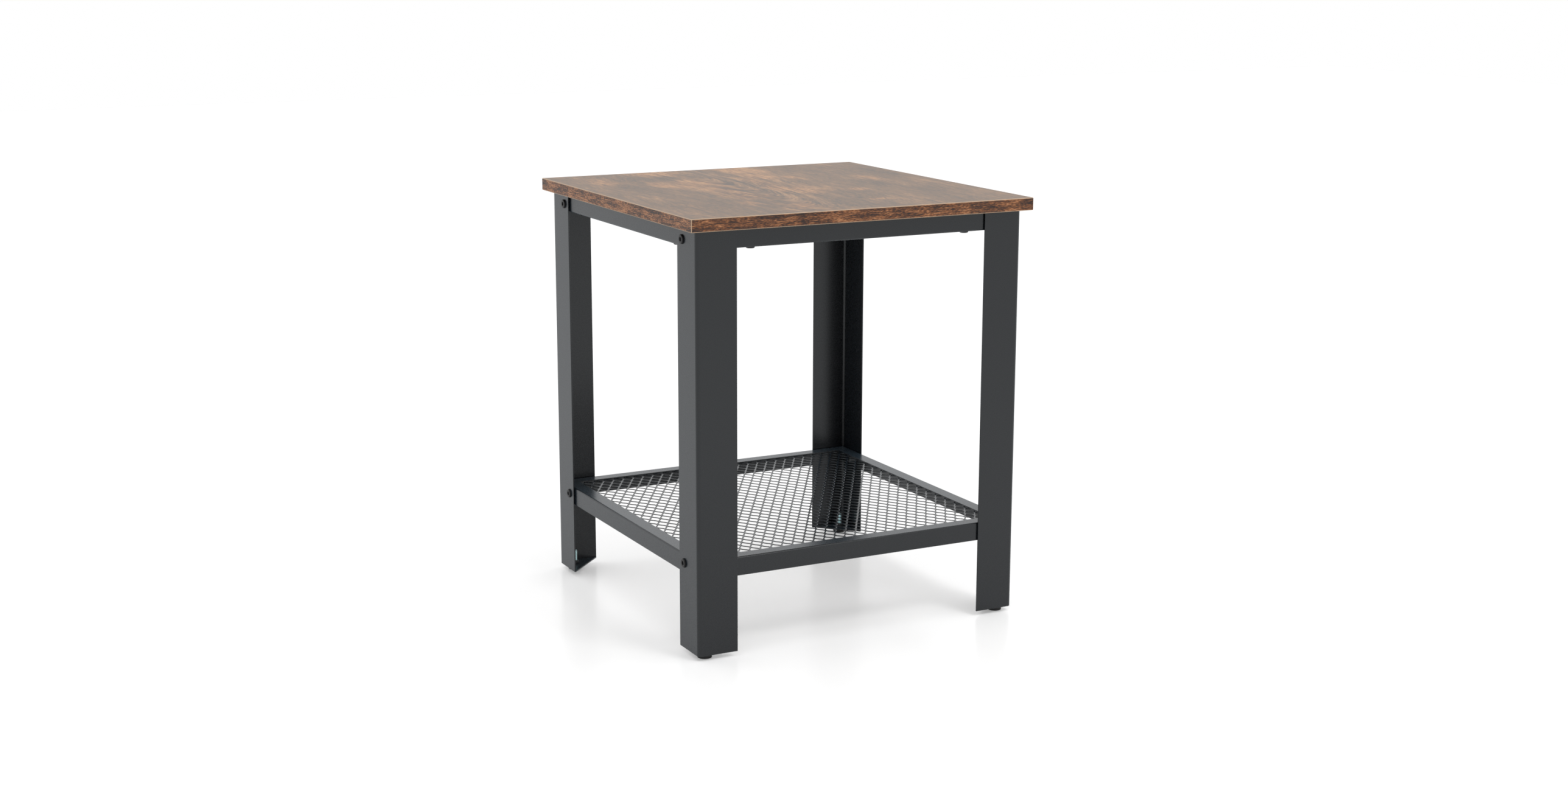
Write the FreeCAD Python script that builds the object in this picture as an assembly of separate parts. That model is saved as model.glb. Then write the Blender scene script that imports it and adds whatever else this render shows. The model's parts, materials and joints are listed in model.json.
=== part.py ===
import FreeCAD, Part
import math
import os

# End table: a board on four bent-sheet legs, tied by two rings of angle bar, the lower one holding a
# shelf of expanded metal. Millimetres, +Z up, the origin on the floor under the middle of the table.
# Front is -Y and left is -X. What repeats is made at the front left corner and mirrored.

# Tabletop
TOP_WIDTH = 445.0
TOP_DEPTH = 445.0
TOP_THICKNESS = 15.0
OVERALL_HEIGHT = 510.0
BAND_THICKNESS = 1.0
BAND_CHAMFER = 0.75

# Legs: bent angles, set in from the tabletop's edge
LEG_INSET = 10.5
LEG_FLANGE = 50.0
LEG_SHEET = 1.5
LEG_INNER_RADIUS = 1.5

# Rings of angle bar: the upper one has its flat flange below, the lower one has it on top
RAIL_HEIGHT = 22.0
RAIL_FLANGE = 18.0
RAIL_SHEET = 1.5
RAIL_INNER_RADIUS = 0.5
SHELF_HEIGHT = 117.5

# Expanded metal: six-sided holes in staggered rows, long along Y
MESH_SHEET = 1.5
MESH_SHORT_WAY = 14.0
MESH_LONG_WAY = 23.0
MESH_BOND_WIDTH = 2.8
MESH_BOND_LENGTH = 3.0
MESH_TIP_GAP = 3.9
MESH_CLEARANCE = 0.5
MESH_RIM = 2.0

# M6 fasteners
THREAD_RADIUS = 3.0
THREAD_CLEARANCE = 0.05
HOLE_CLEARANCE = 0.3
RIM_SHARE = 0.35
CROWN_FLAT_RADIUS = 3.4
SOCKET_FLATS = 4.0
SOCKET_SHARE = 0.6
CUTTER_SPARE = 1.0

LEG_BOLT_FROM_CORNER = 37.0
LEG_BOLT_FROM_FLANGE = 9.0
LEG_BOLT_HEAD_RADIUS = 5.75
LEG_BOLT_HEAD_HEIGHT = 2.6
LEG_BOLT_LENGTH = 10.0

RIVET_NUT_HEAD = 1.0
RIVET_NUT_HEAD_RADIUS = 5.5
RIVET_NUT_RADIUS = 4.5
RIVET_NUT_LENGTH = 11.0
RIVET_NUT_BULGE_RADIUS = 5.2
RIVET_NUT_BULGE = 2.0

BOARD_SCREW_FROM_LEG = 72.0
BOARD_SCREW_FROM_FACE = 9.0
BOARD_SCREW_HEAD_RADIUS = 5.2
BOARD_SCREW_HEAD_HEIGHT = 2.8
BOARD_SCREW_BITE = 8.0
INSERT_RADIUS = 4.5
INSERT_LENGTH = 9.0
INSERT_HOLE_SPARE = 1.0

# Feet: a threaded stud in each leg's foot plate, with its head held in a plastic pad
FOOT_PLATE = 1.5
FOOT_FROM_FACES = 14.6
FOOT_NUT_FLATS = 10.0
FOOT_NUT_HEIGHT = 4.0
STUD_ABOVE_NUT = 13.7
STUD_HEAD_RADIUS = 5.0
STUD_HEAD_HEIGHT = 1.5
PAD_RADIUS = 8.5
PAD_HEIGHT = 5.0
PAD_CHAMFER = 0.6
PAD_FLOOR = 1.2
NECK_RADIUS = 5.5
NECK_HEIGHT = 0.7
NECK_GAP = 0.3
POCKET_CLEARANCE = 0.2

# Worked out from the sizes above
TOP_X = TOP_WIDTH / 2
TOP_Y = TOP_DEPTH / 2
BOARD_BOTTOM = OVERALL_HEIGHT - TOP_THICKNESS
LEG_X = TOP_X - LEG_INSET
LEG_Y = TOP_Y - LEG_INSET
LEG_BOTTOM = PAD_HEIGHT + NECK_HEIGHT + NECK_GAP
RAIL_RECESS = LEG_SHEET + RIVET_NUT_HEAD
RING_X = LEG_X - RAIL_RECESS
RING_Y = LEG_Y - RAIL_RECESS
UPPER_RING_BOTTOM = BOARD_BOTTOM - RAIL_HEIGHT
FOOT_X = LEG_X - FOOT_FROM_FACES
FOOT_Y = LEG_Y - FOOT_FROM_FACES
NUT_BOTTOM = LEG_BOTTOM + FOOT_PLATE
NUT_TOP = NUT_BOTTOM + FOOT_NUT_HEIGHT
BORE_RADIUS = THREAD_RADIUS + THREAD_CLEARANCE
HOLE_RADIUS = THREAD_RADIUS + HOLE_CLEARANCE

UP = FreeCAD.Vector(0, 0, 1)
DOWN = FreeCAD.Vector(0, 0, -1)
RIGHT = FreeCAD.Vector(1, 0, 0)
LEFT = FreeCAD.Vector(-1, 0, 0)
BACK = FreeCAD.Vector(0, 1, 0)
ORIGIN = FreeCAD.Vector(0, 0, 0)

CORNERS = {
    "front_left": (1, 1),
    "front_right": (-1, 1),
    "back_left": (1, -1),
    "back_right": (-1, -1),
}


def save(node, shape):
    """Write one node as parts/node.step and say how many solids it holds."""
    shape.exportStep("parts/" + node + ".step")
    print(node, len(shape.Solids), "solid(s),", round(shape.Volume), "mm3, valid:", shape.isValid())


def mirrored(shape, side_x, side_y):
    """Carry a shape made at the front left to the corner whose signs are given; -1 mirrors it."""
    if side_x < 0:
        shape = shape.mirror(ORIGIN, RIGHT)
    if side_y < 0:
        shape = shape.mirror(ORIGIN, BACK)
    return shape


def at_all_corners(shape):
    """Four copies of a front left shape, one for each corner, as one compound."""
    return Part.makeCompound([mirrored(shape, *signs) for signs in CORNERS.values()])


def block(low, high):
    """Box between two opposite corners."""
    size = [high[i] - low[i] for i in range(3)]
    return Part.makeBox(*size, FreeCAD.Vector(*low))


def prism(points, bottom, top):
    """Upright prism over a closed outline of (x, y) points."""
    corners = [FreeCAD.Vector(x, y, bottom) for x, y in points]
    return Part.Face(Part.makePolygon(corners + corners[:1])).extrude(UP * (top - bottom))


def hexagon(flats, bottom, top):
    """Upright hexagonal prism about the Z axis, measured across its flats."""
    reach = flats / math.sqrt(3)
    turns = [math.radians(60 * i) for i in range(6)]
    return prism([(reach * math.cos(a), reach * math.sin(a)) for a in turns], bottom, top)


def turned(profile):
    """Solid of revolution about the Z axis, from a closed outline of (radius, z) points."""
    corners = [FreeCAD.Vector(r, 0, z) for r, z in profile]
    return Part.Face(Part.makePolygon(corners + corners[:1])).revolve(ORIGIN, UP, 360)


def placed(shape, point, axis):
    """Turn a shape's own Z axis to the given axis and carry its origin to the point."""
    moved = shape.copy()
    moved.Placement = FreeCAD.Placement(point, FreeCAD.Rotation(UP, axis))
    return moved


def angle_bar(corner, along_u, along_v, flange_u, flange_v, sheet, inner_radius, run):
    """Bent sheet angle. Its outer corner starts at corner and follows the vector run; the flanges
    go along_u and along_v from there, and both bend faces are round about one centre."""
    outer_radius = inner_radius + sheet
    half_turn = math.sqrt(0.5)
    outer_mid = outer_radius * (1 - half_turn)
    inner_mid = outer_radius - inner_radius * half_turn

    def at(u, v):
        return corner + along_u * u + along_v * v

    edges = [
        Part.LineSegment(at(outer_radius, 0), at(flange_u, 0)),
        Part.LineSegment(at(flange_u, 0), at(flange_u, sheet)),
        Part.LineSegment(at(flange_u, sheet), at(outer_radius, sheet)),
        Part.Arc(at(outer_radius, sheet), at(inner_mid, inner_mid), at(sheet, outer_radius)),
        Part.LineSegment(at(sheet, outer_radius), at(sheet, flange_v)),
        Part.LineSegment(at(sheet, flange_v), at(0, flange_v)),
        Part.LineSegment(at(0, flange_v), at(0, outer_radius)),
        Part.Arc(at(0, outer_radius), at(outer_mid, outer_mid), at(outer_radius, 0)),
    ]
    return Part.Face(Part.Wire([edge.toShape() for edge in edges])).extrude(run)


def button_screw(head_radius, head_height, shank_length):
    """Socket screw with a domed head above z = 0 and its shank below."""
    rim = head_height * RIM_SHARE
    flat = CROWN_FLAT_RADIUS
    dome = [Part.makeLine((0, 0, 0), (head_radius, 0, 0))]
    dome.append(Part.makeLine((head_radius, 0, 0), (head_radius, 0, rim)))
    middle_radius = flat + (head_radius - flat) * math.sqrt(0.5)
    middle_height = rim + (head_height - rim) * math.sqrt(0.5)
    crown = Part.Arc(
        FreeCAD.Vector(head_radius, 0, rim),
        FreeCAD.Vector(middle_radius, 0, middle_height),
        FreeCAD.Vector(flat, 0, head_height),
    )
    dome.append(crown.toShape())
    dome.append(Part.makeLine((flat, 0, head_height), (0, 0, head_height)))
    dome.append(Part.makeLine((0, 0, head_height), (0, 0, 0)))
    head = Part.Face(Part.Wire(dome)).revolve(ORIGIN, UP, 360)
    socket_floor = head_height * (1 - SOCKET_SHARE)
    socket = hexagon(SOCKET_FLATS, socket_floor, head_height + CUTTER_SPARE)
    shank = Part.makeCylinder(THREAD_RADIUS, shank_length, ORIGIN, DOWN)
    return head.fuse(shank).cut(socket).removeSplitter()


# Tabletop: a particleboard core, and four bands around its edge with the front and back ones across
# the ends of the side ones. The bands' outer edges are chamfered.
def top_screw_places():
    """Front left place of each board screw: one under the front rail, one under the left rail."""
    return [
        (-LEG_X + BOARD_SCREW_FROM_LEG, -RING_Y + BOARD_SCREW_FROM_FACE),
        (-RING_X + BOARD_SCREW_FROM_FACE, -LEG_Y + BOARD_SCREW_FROM_LEG),
    ]


def tabletop_board():
    core_x = TOP_X - BAND_THICKNESS
    core_y = TOP_Y - BAND_THICKNESS
    core = block((-core_x, -core_y, BOARD_BOTTOM), (core_x, core_y, OVERALL_HEIGHT))
    for x, y in top_screw_places():
        hole = Part.makeCylinder(
            INSERT_RADIUS + THREAD_CLEARANCE,
            INSERT_LENGTH + INSERT_HOLE_SPARE,
            FreeCAD.Vector(x, y, BOARD_BOTTOM),
        )
        core = core.cut(at_all_corners(hole))
    return core


def chamfered_top_envelope():
    """The whole tabletop's outer form, with its twelve edges chamfered."""
    form = block((-TOP_X, -TOP_Y, BOARD_BOTTOM), (TOP_X, TOP_Y, OVERALL_HEIGHT))
    return form.makeChamfer(BAND_CHAMFER, form.Edges)


def edge_bands():
    """Front and left bands with their names; the other two are their mirror images."""
    form = chamfered_top_envelope()
    core_x = TOP_X - BAND_THICKNESS
    core_y = TOP_Y - BAND_THICKNESS
    front = block((-TOP_X, -TOP_Y, BOARD_BOTTOM), (TOP_X, -core_y, OVERALL_HEIGHT)).common(form)
    left = block((-TOP_X, -core_y, BOARD_BOTTOM), (-core_x, core_y, OVERALL_HEIGHT)).common(form)
    return front, left


save("tabletop_board", tabletop_board())
front_band, left_band = edge_bands()
save("edge_band_front", front_band)
save("edge_band_back", mirrored(front_band, 1, -1))
save("edge_band_left", left_band)
save("edge_band_right", mirrored(left_band, -1, 1))


# Legs: each flange reaches from the corner, and the side flange is drilled for one bolt per ring.
UPPER_BOLT_Z = UPPER_RING_BOTTOM + LEG_BOLT_FROM_FLANGE
LOWER_BOLT_Z = SHELF_HEIGHT - LEG_BOLT_FROM_FLANGE
LEG_BOLT_Y = -LEG_Y + LEG_BOLT_FROM_CORNER


def side_hole(radius, start_x, height, length):
    """Cutter along +X for a hole in the left side, at the leg bolts' distance from the corner."""
    return Part.makeCylinder(radius, length, FreeCAD.Vector(start_x, LEG_BOLT_Y, height), RIGHT)


def leg():
    corner = FreeCAD.Vector(-LEG_X, -LEG_Y, LEG_BOTTOM)
    run = UP * (BOARD_BOTTOM - LEG_BOTTOM)
    shape = angle_bar(corner, RIGHT, BACK, LEG_FLANGE, LEG_FLANGE, LEG_SHEET, LEG_INNER_RADIUS, run)
    for height in (UPPER_BOLT_Z, LOWER_BOLT_Z):
        shape = shape.cut(side_hole(HOLE_RADIUS, -LEG_X, height, LEG_SHEET))
    return shape


def foot_plate():
    """Three-cornered plate in the foot of the leg, cut straight from flange end to flange end."""
    near = LEG_SHEET
    past_bend = LEG_SHEET + LEG_INNER_RADIUS
    outline = [(past_bend, near), (LEG_FLANGE, near), (near, LEG_FLANGE), (near, past_bend)]
    points = [(-LEG_X + u, -LEG_Y + v) for u, v in outline]
    plate = prism(points, LEG_BOTTOM, NUT_BOTTOM)
    foot_centre = FreeCAD.Vector(-FOOT_X, -FOOT_Y, LEG_BOTTOM)
    return plate.cut(Part.makeCylinder(HOLE_RADIUS, FOOT_PLATE, foot_centre))


def foot_nut():
    bore = Part.makeCylinder(BORE_RADIUS, FOOT_NUT_HEIGHT, UP * NUT_BOTTOM)
    nut = hexagon(FOOT_NUT_FLATS, NUT_BOTTOM, NUT_TOP).cut(bore)
    nut.translate(FreeCAD.Vector(-FOOT_X, -FOOT_Y, 0))
    return nut


HEAD_BOTTOM = PAD_FLOOR + POCKET_CLEARANCE
HEAD_TOP = HEAD_BOTTOM + STUD_HEAD_HEIGHT
POCKET_TOP = HEAD_TOP + POCKET_CLEARANCE
POCKET_RADIUS = STUD_HEAD_RADIUS + POCKET_CLEARANCE
NECK_TOP = PAD_HEIGHT + NECK_HEIGHT


def foot_stud():
    """Threaded stud, drawn as a plain rod at the thread's outer size, with a flat round head."""
    stud = turned([
        (0, HEAD_BOTTOM),
        (STUD_HEAD_RADIUS, HEAD_BOTTOM),
        (STUD_HEAD_RADIUS, HEAD_TOP),
        (THREAD_RADIUS, HEAD_TOP),
        (THREAD_RADIUS, NUT_TOP + STUD_ABOVE_NUT),
        (0, NUT_TOP + STUD_ABOVE_NUT),
    ])
    stud.translate(FreeCAD.Vector(-FOOT_X, -FOOT_Y, 0))
    return stud


def foot_pad():
    """Round pad with a short neck; its pocket traps the stud's head and lets it turn."""
    pad = turned([
        (0, 0),
        (PAD_RADIUS - PAD_CHAMFER, 0),
        (PAD_RADIUS, PAD_CHAMFER),
        (PAD_RADIUS, PAD_HEIGHT - PAD_CHAMFER),
        (PAD_RADIUS - PAD_CHAMFER, PAD_HEIGHT),
        (NECK_RADIUS, PAD_HEIGHT),
        (NECK_RADIUS, NECK_TOP),
        (BORE_RADIUS, NECK_TOP),
        (BORE_RADIUS, POCKET_TOP),
        (POCKET_RADIUS, POCKET_TOP),
        (POCKET_RADIUS, PAD_FLOOR),
        (0, PAD_FLOOR),
    ])
    pad.translate(FreeCAD.Vector(-FOOT_X, -FOOT_Y, 0))
    return pad


CORNER_PIECES = {
    "leg_": leg(),
    "foot_plate_": foot_plate(),
    "foot_nut_": foot_nut(),
    "foot_stud_": foot_stud(),
    "foot_pad_": foot_pad(),
}
for piece_name, piece in CORNER_PIECES.items():
    for corner_name, corner_signs in CORNERS.items():
        save(piece_name + corner_name, mirrored(piece, *corner_signs))


# Rings: four mitred angle bars each. The side bars are drilled for the rivet nuts, and the upper
# ring's flat flange for the board screws.
def front_bar(corner_z, along_v):
    """Front bar of a ring, from mitre to mitre, its outer corner at corner_z."""
    start = FreeCAD.Vector(-RING_X, -RING_Y, corner_z)
    bar = angle_bar(start, BACK, along_v, RAIL_FLANGE, RAIL_HEIGHT, RAIL_SHEET, RAIL_INNER_RADIUS,
                    RIGHT * (2 * RING_X))
    inner_x = RING_X - RAIL_FLANGE
    inner_y = RING_Y - RAIL_FLANGE
    mitre = [(-RING_X, -RING_Y), (RING_X, -RING_Y), (inner_x, -inner_y), (-inner_x, -inner_y)]
    return bar.common(prism(mitre, corner_z - RAIL_HEIGHT, corner_z + RAIL_HEIGHT))


def left_bar(corner_z, along_v, nut_z):
    """Left bar of a ring, from mitre to mitre, with a hole for each of its two rivet nuts."""
    start = FreeCAD.Vector(-RING_X, -RING_Y, corner_z)
    bar = angle_bar(start, RIGHT, along_v, RAIL_FLANGE, RAIL_HEIGHT, RAIL_SHEET, RAIL_INNER_RADIUS,
                    BACK * (2 * RING_Y))
    inner_x = RING_X - RAIL_FLANGE
    inner_y = RING_Y - RAIL_FLANGE
    mitre = [(-RING_X, -RING_Y), (-inner_x, -inner_y), (-inner_x, inner_y), (-RING_X, RING_Y)]
    bar = bar.common(prism(mitre, corner_z - RAIL_HEIGHT, corner_z + RAIL_HEIGHT))
    hole = side_hole(RIVET_NUT_RADIUS + THREAD_CLEARANCE, -RING_X, nut_z, RAIL_SHEET)
    return bar.cut(hole).cut(mirrored(hole, 1, -1))


def screw_drilled(bar):
    """Cut the board screws' holes through an upper bar's flat flange."""
    for x, y in top_screw_places():
        hole = Part.makeCylinder(HOLE_RADIUS, RAIL_SHEET, FreeCAD.Vector(x, y, UPPER_RING_BOTTOM))
        bar = bar.cut(at_all_corners(hole))
    return bar


upper_front = screw_drilled(front_bar(UPPER_RING_BOTTOM, UP))
upper_left = screw_drilled(left_bar(UPPER_RING_BOTTOM, UP, UPPER_BOLT_Z))
lower_front = front_bar(SHELF_HEIGHT, DOWN)
lower_left = left_bar(SHELF_HEIGHT, DOWN, LOWER_BOLT_Z)
for ring_name, front, left in (
    ("upper_rail_", upper_front, upper_left),
    ("lower_rail_", lower_front, lower_left),
):
    save(ring_name + "front", front)
    save(ring_name + "back", mirrored(front, 1, -1))
    save(ring_name + "left", left)
    save(ring_name + "right", mirrored(left, -1, 1))


# Shelf: expanded metal under the lower ring's flange, with whole metal only along its rim.
def outline_wire(points, shift_x, shift_y, height):
    """Closed wire through (x, y) points, moved sideways and laid at a height."""
    corners = [FreeCAD.Vector(x + shift_x, y + shift_y, height) for x, y in points]
    return Part.makePolygon(corners + corners[:1])


def rectangle(left, right, front, back):
    return [(left, front), (right, front), (right, back), (left, back)]


def mesh_hole_outline():
    """Hole about (0, 0): flat beside the bonds at its left and right, pointed along Y."""
    side_x = (MESH_SHORT_WAY - MESH_BOND_WIDTH) / 2
    side_y = MESH_BOND_LENGTH / 2
    tip_y = (MESH_LONG_WAY - MESH_TIP_GAP) / 2
    right_half = [(0, -tip_y), (side_x, -side_y), (side_x, side_y)]
    return right_half + [(-x, -y) for x, y in right_half]


def mesh_panel():
    """One sheet, cut strip by strip; a strip spans one short way and the three columns it meets."""
    half_x = RING_X - RAIL_SHEET - MESH_CLEARANCE
    half_y = RING_Y - RAIL_SHEET - MESH_CLEARANCE
    bottom = SHELF_HEIGHT - RAIL_SHEET - MESH_SHEET
    window_x = half_x - MESH_RIM
    window_y = half_y - MESH_RIM
    window = Part.Face(outline_wire(rectangle(-window_x, window_x, -window_y, window_y), 0, 0, bottom))
    strip_count = math.ceil(half_x / MESH_SHORT_WAY)
    row_count = math.ceil(2 * half_y / MESH_LONG_WAY)
    strips = []
    for strip in range(-strip_count, strip_count):
        left = max(strip * MESH_SHORT_WAY, -half_x)
        right = min((strip + 1) * MESH_SHORT_WAY, half_x)
        holes = []
        for column in range(2 * strip, 2 * strip + 3):
            for row in range(-row_count, row_count + 1):
                if (column + row) % 2 == 0:
                    x = column * MESH_SHORT_WAY / 2
                    y = row * MESH_LONG_WAY / 2
                    holes.append(Part.Face(outline_wire(mesh_hole_outline(), x, y, bottom)))
        metal = Part.Face(outline_wire(rectangle(left, right, -half_y, half_y), 0, 0, bottom))
        metal = metal.cut(Part.makeCompound(holes).common(window))
        strips += [face.extrude(UP * MESH_SHEET) for face in metal.Faces]
    return strips[0].multiFuse(strips[1:])


save("mesh_panel", mesh_panel())


# Fasteners at the legs: a rivet nut set in the side bars, its head between bar and leg, and a
# button-head bolt through the leg into it.
def rivet_nut():
    """Rivet nut along +Z with its head's outer face at z = 0, bulged behind the sheet it grips."""
    sheet_back = RIVET_NUT_HEAD + RAIL_SHEET
    bulge_end = sheet_back + RIVET_NUT_BULGE
    return turned([
        (BORE_RADIUS, 0),
        (RIVET_NUT_HEAD_RADIUS, 0),
        (RIVET_NUT_HEAD_RADIUS, RIVET_NUT_HEAD),
        (RIVET_NUT_RADIUS, RIVET_NUT_HEAD),
        (RIVET_NUT_RADIUS, sheet_back),
        (RIVET_NUT_BULGE_RADIUS, sheet_back),
        (RIVET_NUT_BULGE_RADIUS, bulge_end),
        (RIVET_NUT_RADIUS, bulge_end),
        (RIVET_NUT_RADIUS, RIVET_NUT_HEAD + RIVET_NUT_LENGTH),
        (BORE_RADIUS, RIVET_NUT_HEAD + RIVET_NUT_LENGTH),
    ])


leg_bolt = button_screw(LEG_BOLT_HEAD_RADIUS, LEG_BOLT_HEAD_HEIGHT, LEG_BOLT_LENGTH)
for ring_name, bolt_z in (("upper", UPPER_BOLT_Z), ("lower", LOWER_BOLT_Z)):
    nut_place = FreeCAD.Vector(-LEG_X + LEG_SHEET, LEG_BOLT_Y, bolt_z)
    bolt_place = FreeCAD.Vector(-LEG_X, LEG_BOLT_Y, bolt_z)
    save(ring_name + "_rivet_nuts", at_all_corners(placed(rivet_nut(), nut_place, RIGHT)))
    save(ring_name + "_leg_bolts", at_all_corners(placed(leg_bolt, bolt_place, LEFT)))


# Fasteners of the board: a threaded insert in each blind hole, and a long screw up through the
# upper ring's flat flange.
board_screw = button_screw(
    BOARD_SCREW_HEAD_RADIUS, BOARD_SCREW_HEAD_HEIGHT, RAIL_HEIGHT + BOARD_SCREW_BITE
)
screws = []
inserts = []
for screw_x, screw_y in top_screw_places():
    under_flange = FreeCAD.Vector(screw_x, screw_y, UPPER_RING_BOTTOM)
    screws += at_all_corners(placed(board_screw, under_flange, DOWN)).Solids
    in_board = FreeCAD.Vector(screw_x, screw_y, BOARD_BOTTOM)
    sleeve = Part.makeCylinder(INSERT_RADIUS, INSERT_LENGTH, in_board)
    bore = Part.makeCylinder(BORE_RADIUS, INSERT_LENGTH, in_board)
    inserts += at_all_corners(sleeve.cut(bore)).Solids
save("board_screws", Part.makeCompound(screws))
save("board_inserts", Part.makeCompound(inserts))
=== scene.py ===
# %% [markdown]
# # End table with a mesh shelf
# A wood-look board on four legs of bent sheet steel. Two rings of angle bar tie the legs, and the
# lower ring carries a shelf of expanded metal. The CAD model fixes every size. This lesson dresses
# it: it keeps the CAD pieces whose shape is already right, gives them materials, and works out new
# surfaces with numpy where the real thing has detail that the CAD leaves out, such as rolled sheet
# edges, twisted strands and screw threads.

# %% Load the frame
import bpy
import json
import math
import numpy as np
from mathutils import Matrix, Vector


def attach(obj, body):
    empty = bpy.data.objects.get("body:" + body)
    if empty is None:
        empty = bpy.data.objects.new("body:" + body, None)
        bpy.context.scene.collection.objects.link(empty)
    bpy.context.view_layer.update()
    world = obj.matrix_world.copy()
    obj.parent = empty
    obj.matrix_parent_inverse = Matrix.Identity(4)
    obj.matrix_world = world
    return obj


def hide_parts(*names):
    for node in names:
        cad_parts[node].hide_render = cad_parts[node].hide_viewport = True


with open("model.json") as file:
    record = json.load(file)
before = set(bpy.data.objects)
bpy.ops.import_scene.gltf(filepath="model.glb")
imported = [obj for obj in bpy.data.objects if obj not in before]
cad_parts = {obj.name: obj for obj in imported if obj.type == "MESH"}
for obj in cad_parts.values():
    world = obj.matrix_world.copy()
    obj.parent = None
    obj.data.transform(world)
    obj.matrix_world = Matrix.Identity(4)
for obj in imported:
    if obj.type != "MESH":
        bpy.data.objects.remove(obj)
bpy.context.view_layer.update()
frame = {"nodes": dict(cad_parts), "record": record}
slot_of = {part["node"]: part["material_slot"] for part in frame["record"]["subparts"]}
MM = 0.001

# %% [markdown]
# ## Camera
# The view looks down a little on the front left corner. A camera needs a place, a point to look at
# and a lens. A slight roll is added about the line of sight: the camera's right and up vectors turn
# by that angle. Building the rotation from these three vectors is clearer than a chain of Euler
# angles.

# %% Place the camera
CAMERA_PLACE = Vector((-1.20289, -2.32381, 0.81704))
CAMERA_TARGET = Vector((0.00737, 0.0, 0.24491))
CAMERA_ROLL = math.radians(0.157)
CAMERA_LENS, SENSOR_WIDTH = 49.3217, 36.0

camera = bpy.data.objects.new("camera", bpy.data.cameras.new("camera"))
bpy.context.scene.collection.objects.link(camera)
camera.data.sensor_fit = "HORIZONTAL"
camera.data.sensor_width = SENSOR_WIDTH
camera.data.lens = CAMERA_LENS
camera.data.clip_end = 50.0
ahead = (CAMERA_TARGET - CAMERA_PLACE).normalized()
level_right = ahead.cross(Vector((0, 0, 1))).normalized()
level_up = level_right.cross(ahead)
right = level_right * math.cos(CAMERA_ROLL) + level_up * math.sin(CAMERA_ROLL)
up = right.cross(ahead)
camera_axes = Matrix((right, up, -ahead)).transposed()
camera.matrix_world = Matrix.Translation(CAMERA_PLACE) @ camera_axes.to_4x4()
bpy.context.scene.camera = camera
bpy.context.scene.view_settings.view_transform = "Standard"
print("camera distance:", round((CAMERA_TARGET - CAMERA_PLACE).length, 3), "m")

# %% [markdown]
# ## Node helpers
# A material is a small graph of nodes. These helpers make a node and join its sockets in one line,
# so that each recipe below reads like a list of steps.


# %% Helpers for nodes
def new_material(name):
    """Empty material whose Principled shader feeds its output. Returns the material, the shader
    and the node tree."""
    material = bpy.data.materials.new(name)
    material.use_nodes = True
    tree = material.node_tree
    tree.nodes.clear()
    output = tree.nodes.new("ShaderNodeOutputMaterial")
    shader = tree.nodes.new("ShaderNodeBsdfPrincipled")
    tree.links.new(shader.outputs["BSDF"], output.inputs["Surface"])
    return material, shader, tree


def feed(tree, socket, value):
    """Join a socket to another node's output, or write a plain value on it."""
    if isinstance(value, bpy.types.NodeSocket):
        tree.links.new(value, socket)
    else:
        socket.default_value = value


def maths(tree, operation, first, second=0.0):
    """One Math node: an operation on one or two inputs."""
    node = tree.nodes.new("ShaderNodeMath")
    node.operation = operation
    feed(tree, node.inputs[0], first)
    feed(tree, node.inputs[1], second)
    return node.outputs[0]


def plus(tree, first, second):
    """First and second added."""
    return maths(tree, "ADD", first, second)


def minus(tree, first, second):
    """First less second."""
    return maths(tree, "SUBTRACT", first, second)


def times(tree, first, second):
    """First times second."""
    return maths(tree, "MULTIPLY", first, second)


def over(tree, first, second):
    """First divided by second."""
    return maths(tree, "DIVIDE", first, second)


def blend(tree, share, first, second):
    """Mix two colours; share 0 gives the first and 1 the second."""
    node = tree.nodes.new("ShaderNodeMix")
    node.data_type = "RGBA"
    feed(tree, node.inputs["Factor"], share)
    feed(tree, node.inputs[6], first)
    feed(tree, node.inputs[7], second)
    return node.outputs[2]


def noise(tree, place, scale=1.0, detail=2.0, roughness=0.5, seed=0.0):
    """Noise from 0 to 1 at a place. Scale is in cycles for each unit of that place, and each seed
    gives another pattern."""
    node = tree.nodes.new("ShaderNodeTexNoise")
    node.noise_dimensions = "4D"
    tree.links.new(place, node.inputs["Vector"])
    node.inputs["W"].default_value = seed
    node.inputs["Scale"].default_value = scale
    node.inputs["Detail"].default_value = detail
    node.inputs["Roughness"].default_value = roughness
    return node.outputs[0]


def stretch(tree, value, low, high):
    """0 up to the low value, 1 from the high value, and a smooth step between them."""
    node = tree.nodes.new("ShaderNodeMapRange")
    node.interpolation_type = "SMOOTHSTEP"
    feed(tree, node.inputs["Value"], value)
    node.inputs["From Min"].default_value = low
    node.inputs["From Max"].default_value = high
    return node.outputs[0]


# %% Helpers for places
def scaled(tree, place, x, y, z):
    """Divide a place by a length on each axis, so that noise stretches along the longer ones."""
    mapping = tree.nodes.new("ShaderNodeMapping")
    mapping.inputs["Scale"].default_value = (1.0 / x, 1.0 / y, 1.0 / z)
    tree.links.new(place, mapping.inputs["Vector"])
    return mapping.outputs[0]


def place_in_mm(tree):
    """Object coordinates in millimetres."""
    coordinates = tree.nodes.new("ShaderNodeTexCoord")
    return scaled(tree, coordinates.outputs["Object"], MM, MM, MM)


def parts(tree, place):
    """The X, Y and Z of a place."""
    node = tree.nodes.new("ShaderNodeSeparateXYZ")
    tree.links.new(place, node.inputs[0])
    return node.outputs[0], node.outputs[1], node.outputs[2]


def joined(tree, x, y, z):
    """A place from its X, Y and Z."""
    node = tree.nodes.new("ShaderNodeCombineXYZ")
    for socket, value in zip(node.inputs, (x, y, z)):
        feed(tree, socket, value)
    return node.outputs[0]


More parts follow.
